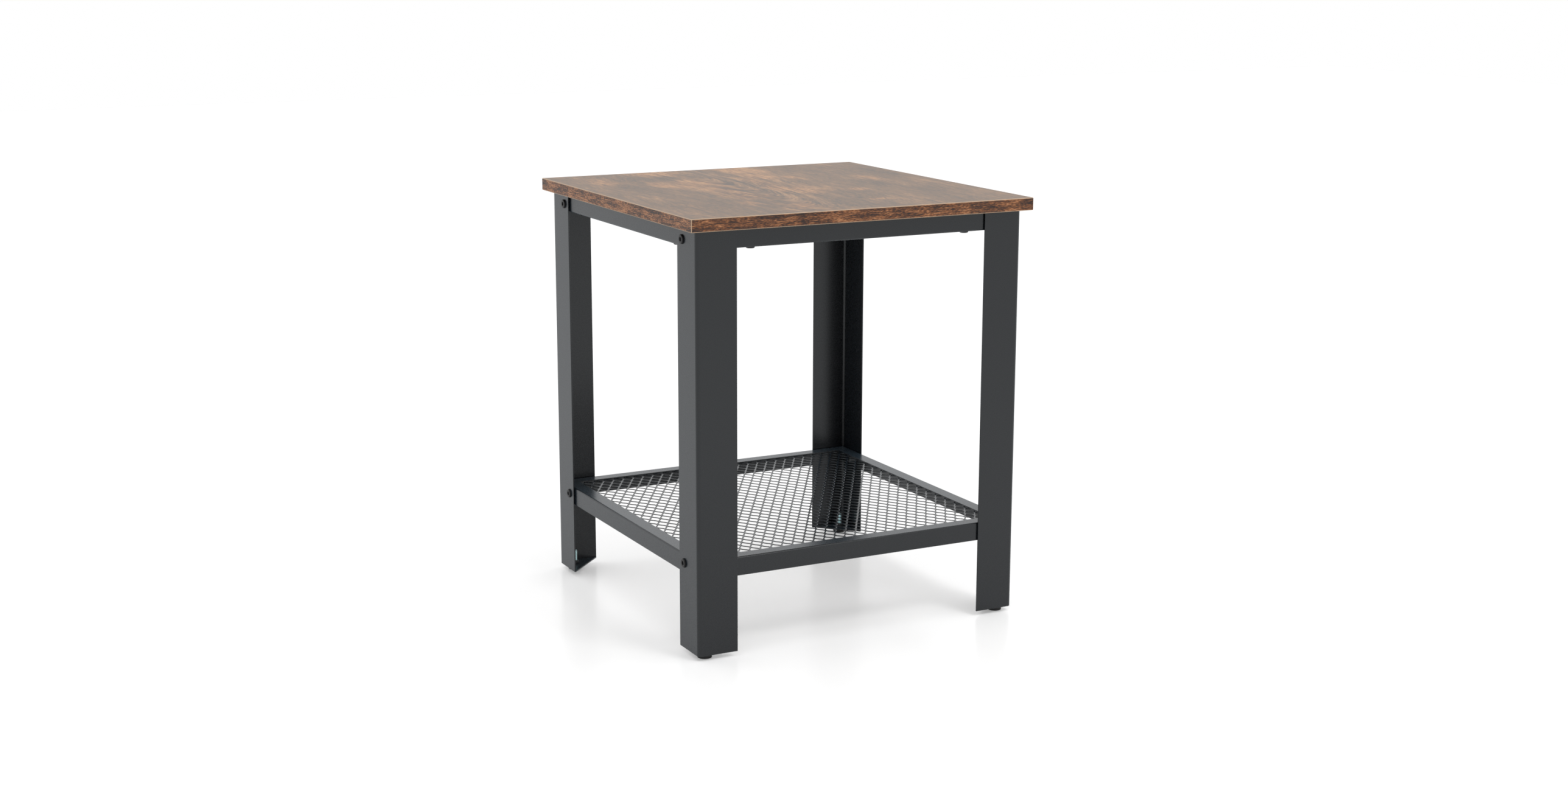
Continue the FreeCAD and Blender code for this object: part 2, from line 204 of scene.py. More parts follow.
# %% Helpers for gloss and relief
def vary_roughness(tree, shader, base, layer, gain):
    """Roughness that follows a layer: base plus layer times gain."""
    varied = plus(tree, base, times(tree, layer, gain))
    feed(tree, shader.inputs["Roughness"], varied)


def bump(tree, shader, height, distance, strength=0.5):
    """Raise the surface by a height from 0 to 1 times a distance in metres."""
    node = tree.nodes.new("ShaderNodeBump")
    feed(tree, node.inputs["Height"], height)
    node.inputs["Distance"].default_value = distance
    node.inputs["Strength"].default_value = strength
    tree.links.new(node.outputs[0], shader.inputs["Normal"])


# %% [markdown]
# ## Wood-look laminate
# The top is printed paper under a clear satin resin. Its print shows rustic timber: a grey-brown
# ground, orange patches, dark fibres that run front to back, and one cathedral figure, where the
# saw cut through the growth rings. Growth rings are long nested cones. A slice through them shows
# ellipses that are much longer than wide, so the distance from their axis is worked out with Y
# squeezed. All the streaks are noise that varies fast with that distance and slowly along Y. They
# then bend round the figure as real grain does. Such a print is often laid on from a scan. Here it
# is all formulas, which have no seams and stay sharp close up. They read Object coordinates in
# millimetres, so the scale of the grain is real.


# %% Helpers for wood
def ramp(tree, value, stops):
    """Colour picked between stops, each a position and its red, green and blue."""
    node = tree.nodes.new("ShaderNodeValToRGB")
    elements = node.color_ramp.elements
    elements[0].position, elements[1].position = stops[0][0], stops[-1][0]
    for position, _ in stops[1:-1]:
        elements.new(position)
    for element, (_, colour) in zip(elements, stops):
        element.color = colour + (1.0,)
    tree.links.new(value, node.inputs[0])
    return node.outputs[0]


def sum_of_squares(tree, first, second):
    """Both values squared, and added."""
    return plus(tree, times(tree, first, first), times(tree, second, second))


def ellipse_patch(tree, x, y, centre_x, centre_y, half_x, half_y):
    """1 at the centre of a soft ellipse and 0 well outside it: e to the power of minus the squared
    distance from the centre, counted in half sizes."""
    across = over(tree, minus(tree, x, centre_x), half_x)
    along = over(tree, minus(tree, y, centre_y), half_y)
    square = sum_of_squares(tree, across, along)
    return maths(tree, "EXPONENT", times(tree, square, -1.0))


def largest(tree, x, y, patches):
    """The largest of several soft ellipses."""
    level = 0.0
    for patch in patches:
        level = maths(tree, "MAXIMUM", level, ellipse_patch(tree, x, y, *patch))
    return level


def offset(tree, value, gain):
    """Distance of a noise value from its middle, times a gain."""
    return times(tree, minus(tree, value, 0.5), gain)


def layered(tree, start, *layers):
    """A start value plus the offset of each noise layer, given as (layer, gain)."""
    total = start
    for layer, gain in layers:
        total = plus(tree, total, offset(tree, layer, gain))
    return total


# %% [markdown]
# The figure's place and the patches are lengths on the board, in millimetres from its middle. A
# patch is the X and Y of its centre, then half its size along X and along Y. A colour ramp starts
# with the darkest tone.

# %% Places and colours of the wood print
RING_AXIS_X, RING_CENTRE_Y, RING_SQUEEZE = -45.0, 240.0, 0.12
MAIN_RING = 34.0
FIGURE_COLUMN = (RING_AXIS_X + 10.0, 20.0, 62.0, 260.0)
MAIN_RING_REACH = (RING_AXIS_X, 0.0, 70.0, 75.0)
KNOTS = ((-45, -36, 8, 6), (39, -132, 3.5, 5))
WARM_PATCHES = (
    (-76, 60, 34, 86), (-72, -45, 31, 64), (-80, 198, 32, 44), (38, 190, 34, 44),
    (4, 78, 18, 46), (62, 88, 12, 20), (150, 45, 13, 32), (15, -36, 27, 40),
    (74, -56, 12, 20), (54, -150, 13, 9), (-104, -122, 16, 22), (-58, -170, 30, 44),
    (-116, 80, 13, 34), (-165, 138, 22, 46), (0, -8, 24, 54), (30, 118, 18, 38),
)
GREY_PATCHES = (
    (-155, 55, 15, 40), (-150, -135, 40, 55), (-120, -5, 14, 16), (-92, 150, 22, 24),
    (12, 165, 9, 34), (125, -20, 30, 40), (140, -95, 34, 44), (-5, -196, 40, 14),
    (190, 120, 30, 60), (100, 60, 12, 50),
)
COOL_BROWN = (
    (0.10, (0.045, 0.026, 0.014)), (0.32, (0.100, 0.055, 0.026)),
    (0.50, (0.152, 0.080, 0.035)), (0.70, (0.215, 0.113, 0.050)),
    (0.95, (0.300, 0.165, 0.080)),
)
WARM_BROWN = (
    (0.10, (0.070, 0.032, 0.014)), (0.32, (0.200, 0.090, 0.034)),
    (0.50, (0.335, 0.160, 0.060)), (0.70, (0.440, 0.225, 0.092)),
    (0.95, (0.540, 0.300, 0.140)),
)
VEIN_BROWN = (0.030, 0.020, 0.014, 1.0)
print("patches:", len(WARM_PATCHES), "warm,", len(GREY_PATCHES), "grey")


# %% Wood grain
def wood_top():
    """Colour, gloss and relief of the print, from layers of noise along the bent grain."""
    material, shader, tree = new_material("rustic_wood_laminate")
    place = place_in_mm(tree)
    x, y, z = parts(tree, place)

    # the grain wanders sideways as it runs
    wander = noise(tree, scaled(tree, place, 70, 170, 70), seed=3.0)
    ripple = noise(tree, scaled(tree, place, 9, 30, 9), seed=8.0)
    sideways = plus(tree, offset(tree, wander, 30.0), offset(tree, ripple, 5.0))
    bent_x = plus(tree, x, sideways)
    bent = joined(tree, bent_x, y, z)

    # distance from the rings' axis: the root of the sum of two squares, with Y squeezed. The side
    # makes the grain differ left and right of the axis
    from_axis = minus(tree, bent_x, RING_AXIS_X)
    from_centre = minus(tree, y, RING_CENTRE_Y)
    from_centre = times(tree, from_centre, RING_SQUEEZE)
    distance = maths(tree, "SQRT", sum_of_squares(tree, from_axis, from_centre))
    side = over(tree, from_axis, 55.0)

    def grain(width, length, detail, roughness, seed):
        """Noise that varies over a width across the rings and a length along the grain."""
        across, along = over(tree, distance, width), over(tree, y, length)
        where = joined(tree, across, along, side)
        return noise(tree, where, detail=detail, roughness=roughness, seed=seed)

    rings = grain(width=3.4, length=240.0, detail=2.0, roughness=0.5, seed=1.0)
    streaks = grain(width=7.5, length=60.0, detail=4.0, roughness=0.65, seed=5.0)
    fibres = grain(width=1.6, length=26.0, detail=3.0, roughness=0.65, seed=9.0)
    pores = grain(width=0.8, length=9.0, detail=2.0, roughness=0.5, seed=14.0)
    clouds = noise(tree, scaled(tree, bent, 45, 110, 45), detail=3.0, roughness=0.6, seed=21.0)

    # tone: how light the wood is, darker in the grey patches
    column = ellipse_patch(tree, bent_x, y, *FIGURE_COLUMN)
    grey = largest(tree, bent_x, y, GREY_PATCHES)
    tone = layered(tree, 0.49, (streaks, 0.65), (fibres, 1.5), (pores, 1.1), (clouds, 0.5))
    tone = plus(tree, tone, times(tree, offset(tree, rings, 2.0), column))
    tone = minus(tree, tone, times(tree, grey, 0.10))

    # warm patches are eaten into by streaks and clouds, so that none of them has a round edge
    warm = largest(tree, bent_x, y, WARM_PATCHES)
    warm = minus(tree, warm, times(tree, grey, 0.5))
    warm = layered(tree, warm, (streaks, 1.4), (fibres, 0.7), (clouds, 1.3))
    warm = stretch(tree, warm, -0.05, 1.0)
    colour = blend(tree, warm, ramp(tree, tone, COOL_BROWN), ramp(tree, tone, WARM_BROWN))

    # thin dark veins where the ring noise passes its middle, broken up along their length
    broken = noise(tree, scaled(tree, bent, 12, 46, 12), seed=17.0)
    broken = stretch(tree, broken, 0.42, 0.60)
    off_line = maths(tree, "ABSOLUTE", minus(tree, rings, 0.5))
    lines = minus(tree, 1.0, stretch(tree, off_line, 0.008, 0.055))
    lines = times(tree, times(tree, lines, broken), column)

    # one heavy ring and two small knots
    off_ring = minus(tree, distance, MAIN_RING)
    off_ring = maths(tree, "ABSOLUTE", plus(tree, off_ring, offset(tree, ripple, 7.0)))
    heavy = minus(tree, 1.0, stretch(tree, off_ring, 1.0, 3.2))
    heavy = times(tree, heavy, ellipse_patch(tree, x, y, *MAIN_RING_REACH))
    knots = largest(tree, x, y, KNOTS)
    dark = maths(tree, "MAXIMUM", maths(tree, "MAXIMUM", lines, heavy), knots)
    colour = blend(tree, times(tree, dark, 0.9), colour, VEIN_BROWN)
    feed(tree, shader.inputs["Base Color"], colour)

    vary_roughness(tree, shader, 0.37, fibres, 0.08)
    shader.inputs["IOR"].default_value = 1.5
    relief = minus(tree, fibres, times(tree, dark, 0.6))
    bump(tree, shader, relief, 0.00006)
    return material


wood_top_material = wood_top()
print("laminate nodes:", len(wood_top_material.node_tree.nodes))

# %% [markdown]
# ## Edge bands
# The band is a strip with the same kind of print, its grain running along the edge: short dark
# dashes over orange brown, with a few darker stretches and one upright figure. Its trimmed corners
# show the beige plastic that the print lies on, which draws a thin light line round the top and
# bottom. The trimmed faces could have a slot of their own, but then every face would need sorting.
# The material finds them by their normal instead: a printed face looks straight out along X or Y,
# and any other face is bare.

# %% Places and colours of the edge bands
BAND_MIDDLE_Z = 502.5
BAND_FIGURE = (41.0, BAND_MIDDLE_Z, 3.6, 14.0)
BAND_BROWN = (
    (0.10, (0.018, 0.009, 0.007)), (0.32, (0.054, 0.022, 0.012)),
    (0.52, (0.125, 0.045, 0.016)), (0.72, (0.225, 0.084, 0.030)),
    (0.95, (0.400, 0.185, 0.084)),
)
BARE_DARKER, BARE_LIGHTER = (0.42, 0.285, 0.185, 1.0), (0.52, 0.370, 0.255, 1.0)
STRAIGHT_OUT = 0.97


# %% Edge band material
def band_material(name, along, lightness, contrast):
    """Print whose grain runs along X or Y, with bare trimmed edges. Lightness is the middle tone,
    and contrast scales every layer of the grain."""
    material, shader, tree = new_material(name)
    place = place_in_mm(tree)
    x, y, z = parts(tree, place)
    run, side = (x, y) if along == "X" else (y, x)
    level = times(tree, side, 0.05)
    wave_run, wave_height = over(tree, run, 40.0), over(tree, z, 30.0)
    wave = noise(tree, joined(tree, wave_run, wave_height, level), seed=2.0)
    height = plus(tree, z, offset(tree, wave, 5.0))

    def streak(length, width, detail, roughness, seed):
        """Noise that varies over a length along the band and a width up it."""
        lengthways = over(tree, run, length)
        where = joined(tree, lengthways, over(tree, height, width), level)
        return noise(tree, where, detail=detail, roughness=roughness, seed=seed)

    dashes = streak(length=4.2, width=0.6, detail=2.0, roughness=0.6, seed=12.0)
    streaks = streak(length=16.0, width=1.3, detail=3.0, roughness=0.6, seed=7.0)
    smudges = streak(length=34.0, width=5.0, detail=3.0, roughness=0.6, seed=4.0)
    stretches = streak(length=70.0, width=50.0, detail=2.0, roughness=0.5, seed=30.0)
    tone = layered(tree, lightness, (dashes, 2.3 * contrast), (streaks, 1.7 * contrast),
                   (smudges, 1.5 * contrast), (stretches, 1.1 * contrast))
    slant = plus(tree, run, times(tree, z, 0.25))
    figure = ellipse_patch(tree, slant, z, *BAND_FIGURE)
    tone = minus(tree, tone, times(tree, figure, 0.3))
    colour = ramp(tree, tone, BAND_BROWN)

    coordinates = tree.nodes.new("ShaderNodeTexCoord")
    normal_x, normal_y, _ = parts(tree, coordinates.outputs["Normal"])
    size_x, size_y = maths(tree, "ABSOLUTE", normal_x), maths(tree, "ABSOLUTE", normal_y)
    straight = maths(tree, "MAXIMUM", size_x, size_y)
    printed = maths(tree, "GREATER_THAN", straight, STRAIGHT_OUT)
    grime = noise(tree, scaled(tree, place, 14, 14, 14), detail=3.0, seed=6.0)
    bare = blend(tree, grime, BARE_DARKER, BARE_LIGHTER)
    feed(tree, shader.inputs["Base Color"], blend(tree, printed, bare, colour))
    vary_roughness(tree, shader, 0.38, dashes, 0.12)
    shader.inputs["IOR"].default_value = 1.42
    bump(tree, shader, streaks, 0.00008)
    return material


band_along_x = band_material("edge_band_front_grain", "X", lightness=0.47, contrast=1.0)
# the side band is the same band as the front one; its higher lightness is painted light for the
# brighter sheen on the side faces
side_band_painted_lighter = band_material("edge_band_side_grain", "Y", lightness=0.56, contrast=1.4)
print("edge band nodes:", len(band_along_x.node_tree.nodes))

# %% [markdown]
# ## Powder coat
# Powder coat is a baked polymer skin: near black, satin, with a faint orange-peel relief about a
# millimetre or two wide. Its gloss does most of the work, because a dark coat shows what it
# reflects far more than its own colour. Seen at a flat angle such a coat looks a little bluer,
# which a weak cool sheen gives.


# %% Powder coat material
def coated(name, base, roughness, peel_size, peel_depth, sheen):
    """Powder coat: a base colour with slight cloudiness, two sizes of orange peel as bump, and a
    cool sheen of the given weight."""
    material, shader, tree = new_material(name)
    place = place_in_mm(tree)
    cloud = noise(tree, place, 1.0 / 30.0, detail=3.0, seed=1.0)
    peel = noise(tree, place, 1.0 / peel_size, roughness=0.55, seed=4.0)
    grit = noise(tree, place, 2.2 / peel_size, seed=6.0)
    darker = tuple(0.86 * level for level in base) + (1.0,)
    lighter = tuple(1.14 * level for level in base) + (1.0,)
    feed(tree, shader.inputs["Base Color"], blend(tree, cloud, darker, lighter))
    vary_roughness(tree, shader, roughness - 0.04, grit, 0.08)
    shader.inputs["IOR"].default_value = 1.545
    shader.inputs["Specular Tint"].default_value = (0.95, 0.98, 1.0, 1.0)
    shader.inputs["Sheen Weight"].default_value = sheen
    shader.inputs["Sheen Roughness"].default_value = 0.4
    shader.inputs["Sheen Tint"].default_value = (0.50, 0.76, 1.0, 1.0)
    relief = plus(tree, times(tree, peel, 0.7), times(tree, grit, 0.3))
    bump(tree, shader, relief, peel_depth)
    return material


coated_steel = coated("satin_powder_coat", base=(0.0018, 0.0022, 0.0032), roughness=0.28,
                      peel_size=2.2, peel_depth=0.00003, sheen=0.09)
coated_mesh = coated("satin_powder_coat_on_mesh", base=(0.0050, 0.0060, 0.0080), roughness=0.26,
                     peel_size=1.5, peel_depth=0.00002, sheen=0.04)
coated_nut = coated("coated_weld_nut", base=(0.012, 0.0125, 0.0135), roughness=0.36,
                    peel_size=1.2, peel_depth=0.00003, sheen=0.07)

# %% [markdown]
# ## Black oxide, zinc and plastic
# The bolts and screws have a thin black oxide, darker than the coat and with less gloss. The studs
# are bright zinc with a cool tint. The rivet nuts, which only show as a line in the gap between leg
# and bar, are a rougher zinc whose colour is darkened far below its own, as painted shade for that
# narrow gap. The pads are matt moulded plastic. Each gets a colour between two tints, and a gloss
# that varies a little, so that none of them looks painted on.


# %% Fastener and pad materials
def black_oxide():
    """Black speckled skin: one fine noise sets its colour, gloss and relief."""
    material, shader, tree = new_material("black_oxide")
    speckle = noise(tree, place_in_mm(tree), 1.6, detail=3.0, roughness=0.6, seed=2.0)
    colour = blend(tree, speckle, (0.003, 0.003, 0.0035, 1.0), (0.010, 0.010, 0.011, 1.0))
    feed(tree, shader.inputs["Base Color"], colour)
    vary_roughness(tree, shader, 0.28, speckle, 0.16)
    shader.inputs["IOR"].default_value = 1.34
    bump(tree, shader, speckle, 0.00002)
    return material


def zinc(name, darker, lighter, metallic, roughness):
    """Zinc plating: blotchy tint between two colours, and rub marks in the gloss."""
    material, shader, tree = new_material(name)
    place = place_in_mm(tree)
    tint = noise(tree, place, 0.25, detail=3.0, roughness=0.6, seed=2.0)
    rub = noise(tree, place, 2.5, detail=3.0, roughness=0.6, seed=5.0)
    feed(tree, shader.inputs["Base Color"], blend(tree, tint, darker, lighter))
    shader.inputs["Metallic"].default_value = metallic
    vary_roughness(tree, shader, roughness, rub, 0.2)
    bump(tree, shader, rub, 0.00002, strength=0.4)
    return material


def moulded_plastic():
    """Matt black plastic: one fine grain sets its colour, gloss and relief."""
    material, shader, tree = new_material("black_moulded_plastic")
    grain = noise(tree, place_in_mm(tree), 3.0, roughness=0.6, seed=3.0)
    colour = blend(tree, grain, (0.008, 0.008, 0.008, 1.0), (0.018, 0.018, 0.018, 1.0))
    feed(tree, shader.inputs["Base Color"], colour)
    vary_roughness(tree, shader, 0.46, grain, 0.12)
    shader.inputs["IOR"].default_value = 1.48
    bump(tree, shader, grain, 0.00004)
    return material


bright_zinc = zinc("bright_zinc", darker=(0.52, 0.80, 0.83, 1.0), lighter=(0.78, 0.93, 0.95, 1.0),
                   metallic=0.6, roughness=0.2)
# zinc of the rivet nuts, its colour darkened as painted shade for the gap between leg and bar
dull_zinc = zinc("dull_zinc", darker=(0.10, 0.105, 0.11, 1.0), lighter=(0.17, 0.175, 0.18, 1.0),
                 metallic=1.0, roughness=0.45)

# %% Material of each slot
material_of_slot = {
    "wood_laminate": wood_top_material,
    "edge_band": band_along_x,
    "coated_steel": coated_steel,
    "coated_mesh": coated_mesh,
    "dark_steel": coated_nut,
    "black_fastener": black_oxide(),
    "zinc_steel": bright_zinc,
    "black_plastic": moulded_plastic(),
}
print("materials:", sorted(material.name for material in material_of_slot.values()))

# %% [markdown]
# ## Surfaces from grids
# Most pieces here are one outline carried along a path, or one profile turned about an axis. Both
# give a grid of points: rows along the path, columns round the outline. Neighbouring rows and
# columns bound a face, and a flat cap closes each open end. One helper makes all these faces at
# once from row and column numbers, so no vertex is ever visited on its own.


# %% Helpers for grids
def grid_faces(rows, columns, close_rows):
    """Four-cornered faces of a grid that is closed round its columns. Face (i, j) joins row i to
    row i + 1 and column j to column j + 1, counted round; rows are also joined round on request."""
    row = np.arange(rows if close_rows else rows - 1)[:, None]
    column = np.arange(columns)[None, :]
    next_row = (row + 1) % rows
    next_column = (column + 1) % columns
    corners = (row * columns + column, row * columns + next_column,
               next_row * columns + next_column, next_row * columns + column)
    return np.stack(np.broadcast_arrays(*corners), axis=-1).reshape(-1, 4)


def capped(grid, close_rows=False):
    """Points and faces of a grid of shape (rows, columns, 3), with a flat cap on each end unless
    its rows are closed into a ring."""
    rows, columns = grid.shape[:2]
    faces = grid_faces(rows, columns, close_rows).tolist()
    if not close_rows:
        faces.append(list(range(columns))[::-1])
        faces.append(list(range((rows - 1) * columns, rows * columns)))
    return grid.reshape(-1, 3), faces


def with_height(flat, height):
    """Grid of points from a grid of X and Y, with a height that is spread over its rows or
    columns."""
    return np.concatenate([flat, np.broadcast_to(height, flat.shape[:2])[..., None]], axis=2)


# %% Helpers for meshes
def several(shapes):
    """Points and faces of several shapes as one; each shape's face numbers move up by the number
    of points before it."""
    points = []
    faces = []
    for shape_points, shape_faces in shapes:
        start = sum(len(block) for block in points)
        points.append(shape_points)
        faces += [[start + corner for corner in face] for face in shape_faces]
    return np.concatenate(points), faces


def outward(points, faces):
    """The same faces, turned over if the volume they enclose comes out negative. The volume is a
    sixth of the sum, over all triangles, of the first corner's dot with the cross of the others."""
    fans = np.array([(face[0], face[i], face[i + 1])
                     for face in faces for i in range(1, len(face) - 1)])
    a, b, c = points[fans[:, 0]], points[fans[:, 1]], points[fans[:, 2]]
    volume = np.einsum("ij,ij->i", a, np.cross(b, c)).sum() / 6.0
    return faces if volume > 0 else [face[::-1] for face in faces]


def add_piece(name, points, faces, body, nodes, sharp_angle=35.0, finish=None):
    """Put points in metres and faces into a mesh object, smooth but for edges sharper than the
    angle, and let it stand for CAD nodes on a body. Its finish is the one of the nodes' slot,
    unless another is given."""
    mesh = bpy.data.meshes.new(name)
    mesh.from_pydata(points, [], faces)
    mesh.validate()
    mesh.shade_smooth()
    mesh.set_sharp_from_angle(angle=math.radians(sharp_angle))
    piece = bpy.data.objects.new(name, mesh)
    bpy.context.scene.collection.objects.link(piece)
    slot = slot_of[nodes[0]]
    mesh.materials.append(finish or material_of_slot[slot])
    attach(piece, body)
    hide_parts(*nodes)
    mesh.calc_loop_triangles()
    print(name, len(mesh.loop_triangles), "triangles")


# %% [markdown]
# ## Outlines with round corners
# Sheet metal has no true corners: a bend has a radius, and a cut edge is rolled over slightly by
# the coat. A Bevel modifier could round the corners afterwards, but here each has its own radius.
# An arc that touches both sides of a corner starts and ends at radius times the tangent of half the
# turn away from it. Smooth shading averages the normals at each point, so a flat side that shares
# its points with an arc would look bent all over. A spare point on the flat side, close to the arc,
# keeps that to a narrow strip.


# %% Rounded outline
SPARE = 0.15
SHEET = 1.5
END_STEPS = 3


def rounded_outline(corners, radii, steps):
    """Closed outline, counted anticlockwise, with an arc at each corner. For all corners at once:
    the turn is the angle between the two sides, the arc starts back along the first side by radius
    times tan(turn / 2), its centre is a radius to the left or right of there, and its points are
    the start turned about that centre in equal steps. One spare point lies on each side of an arc.
    Returns points and outward normals."""
    corners = np.asarray(corners, float)
    radii = np.asarray(radii, float)
    before = corners - np.roll(corners, 1, axis=0)
    after = np.roll(corners, -1, axis=0) - corners
    before /= np.linalg.norm(before, axis=1)[:, None]
    after /= np.linalg.norm(after, axis=1)[:, None]
    cross = before[:, 0] * after[:, 1] - before[:, 1] * after[:, 0]
    turn = np.arctan2(cross, (before * after).sum(1))
    side = np.sign(turn)
    left = np.stack([-before[:, 1], before[:, 0]], axis=1)
    start = corners - before * (radii * np.tan(np.abs(turn) / 2))[:, None]
    centre = start + left * (side * radii)[:, None]
    angle = turn[:, None] * np.linspace(0.0, 1.0, steps + 1)[None, :]
    cosine, sine = np.cos(angle)[..., None], np.sin(angle)[..., None]
    arm = (start - centre)[:, None, :]
    arm_left = np.stack([-arm[..., 1], arm[..., 0]], axis=-1)
    arc = arm * cosine + arm_left * sine
    normal = arc / radii[:, None, None] * side[:, None, None]
    arc = centre[:, None, :] + arc
    first = arc[:, :1] - before[:, None, :] * SPARE
    last = arc[:, -1:] + after[:, None, :] * SPARE
    points = np.concatenate([first, arc, last], axis=1)
    normals = np.concatenate([normal[:, :1], normal, normal[:, -1:]], axis=1)
    return points.reshape(-1, 2), normals.reshape(-1, 2)


def angle_section(width, height, bend, inner_bend, edge, steps):
    """Outline of an L with its corner at the origin: two flanges of the sheet's thickness, an arc
    outside and inside the bend, and a small arc at each cut edge."""
    corners = [(0, 0), (width, 0), (width, SHEET), (SHEET, SHEET), (SHEET, height), (0, height)]
    return rounded_outline(corners, [bend, edge, edge, inner_bend, edge, edge], steps)


def soft_end(edge):
    """Depths along the run and insets of the outline for an end rounded by a quarter circle: at
    angle t the depth is edge * (1 - cos t) and the inset edge * (1 - sin t). The last row is spare,
    a little further along the straight run."""
    t = np.linspace(0.0, math.pi / 2, END_STEPS + 1)
    return np.append(edge * (1 - np.cos(t)), edge + SPARE), np.append(edge * (1 - np.sin(t)), 0.0)


# %% [markdown]
# ## Legs
# Each leg is a sheet bent once, so its section is an L. A press brake can't fold sheet sharply, so
# the outside of the bend is a wide arc that draws a soft line of light down the leg. The L is
# carried upright from the foot to the board, its ends rounded a little. The other three legs are
# mirror images. A mirrored shape has its faces turned over again, which the volume test takes care
# of.

# %% Legs
# the signs of X and Y that turn a piece at the front left corner into each corner's own
CORNERS = {
    "front_left": (1, 1), "front_right": (-1, 1), "back_left": (1, -1), "back_right": (-1, -1),
}
LEG_CORNER = 212.0
LEG_FLANGE = 50.0
LEG_BOTTOM, BOARD_BOTTOM = 6.0, 495.0
LEG_BEND, LEG_EDGE = 4.5, 0.35

leg_outline, leg_normals = angle_section(
    LEG_FLANGE, LEG_FLANGE, LEG_BEND, LEG_BEND - SHEET, LEG_EDGE, steps=12)
depth, inset = soft_end(LEG_EDGE)
leg_z = np.concatenate([LEG_BOTTOM + depth, (BOARD_BOTTOM - depth)[::-1]])
leg_inset = np.concatenate([inset, inset[::-1]])
leg_uv = leg_outline[None] - leg_normals[None] * leg_inset[:, None, None]
leg_points, leg_faces = capped(with_height(leg_uv - LEG_CORNER, leg_z[:, None]))
for corner, (sign_x, sign_y) in CORNERS.items():
    points = leg_points * (sign_x, sign_y, 1) * MM
    add_piece("bent_leg_" + corner, points, outward(points, leg_faces), "table", ["leg_" + corner])

# %% [markdown]
# ## Rings of angle bar
# Eight short bars tie the legs. Each is an L in section and is cut at 45 degrees at both ends, so a
# point that lies deeper inside the ring also starts later along the bar. Adding the depth to the
# start of the run makes the mitre with no cutting tool. The ends are rounded, and where two bars
# meet, that leaves the fine groove of a ground weld.

# %% Angle bars
RING = 209.5
RAIL_HEIGHT, RAIL_FLANGE = 22.0, 18.0
RAIL_BEND, RAIL_INNER_BEND, RAIL_EDGE = 2.0, 0.5, 0.3
MITRE_EDGE = 0.7 * RAIL_EDGE
UPPER_RING_BOTTOM, LOWER_RING_TOP = 473.0, 117.5
QUARTER_TURNS = {"front": 0, "right": 1, "back": 2, "left": 3}

rail_outline, rail_normals = angle_section(
    RAIL_FLANGE, RAIL_HEIGHT, RAIL_BEND, RAIL_INNER_BEND, RAIL_EDGE, steps=6)


def angle_bar(corner_z, up_or_down, quarter_turns):
    """Bar of a ring: for each end, the run is the ring's half size less the point's own depth,
    which is the mitre. It is made as the front bar and turned by quarter turns about Z."""
    run_depth, run_inset = soft_end(MITRE_EDGE)
    depths = np.concatenate([run_depth, run_depth[::-1]])
    insets = np.concatenate([run_inset, run_inset[::-1]])
    ends = np.repeat([-1.0, 1.0], len(run_depth))
    uv = rail_outline[None] - rail_normals[None] * insets[:, None, None]
    along = ends[:, None] * (RING - depths[:, None] - uv[..., 0])
    grid = np.stack([along, uv[..., 0] - RING, corner_z + up_or_down * uv[..., 1]], axis=-1)
    angle = quarter_turns * math.pi / 2
    cosine, sine = math.cos(angle), math.sin(angle)
    spin = np.array([[cosine, -sine, 0], [sine, cosine, 0], [0, 0, 1]])
    points, faces = capped(grid @ spin.T)
    return points * MM, faces


for ring, corner_z, up_or_down in (("upper", UPPER_RING_BOTTOM, 1), ("lower", LOWER_RING_TOP, -1)):
    for side, quarter_turns in QUARTER_TURNS.items():
        points, faces = angle_bar(corner_z, up_or_down, quarter_turns)
        name, node = f"{ring}_angle_bar_{side}", f"{ring}_rail_{side}"
        add_piece(name, points, outward(points, faces), "table", [node])

# %% [markdown]
# ## Expanded metal shelf
# Expanded metal starts as a plain sheet. A press slits it in staggered rows and pulls it apart, so
# each strip between two slits runs on unbroken, but zigzags: it is joined to its left neighbour,
# then to its right one, and so on. The pull also tips the strips over, and the joints, or bonds,
# stand like small tilted plates. Diamonds cut out of a plate would be slow to make, and would leave
# strands that lie flat. So every strip is one rectangle carried along a zigzag path, all strips are
# the same curve in two phases, and one array holds them all.

# %% Expanded metal
COLUMN_STEP, ROW_STEP = 7.0, 11.5
STRIP_COUNT = 60
STRAND_WIDTH, STRAND_THICKNESS = 1.5, 0.85
BOND_LENGTH = 3.6
ZIGZAG_ROUNDING = 0.45
TIP = math.radians(-3.0)
MESH_HALF = 207.5
MESH_MIDDLE_Z = 115.2
STATIONS_PER_ROW = 7


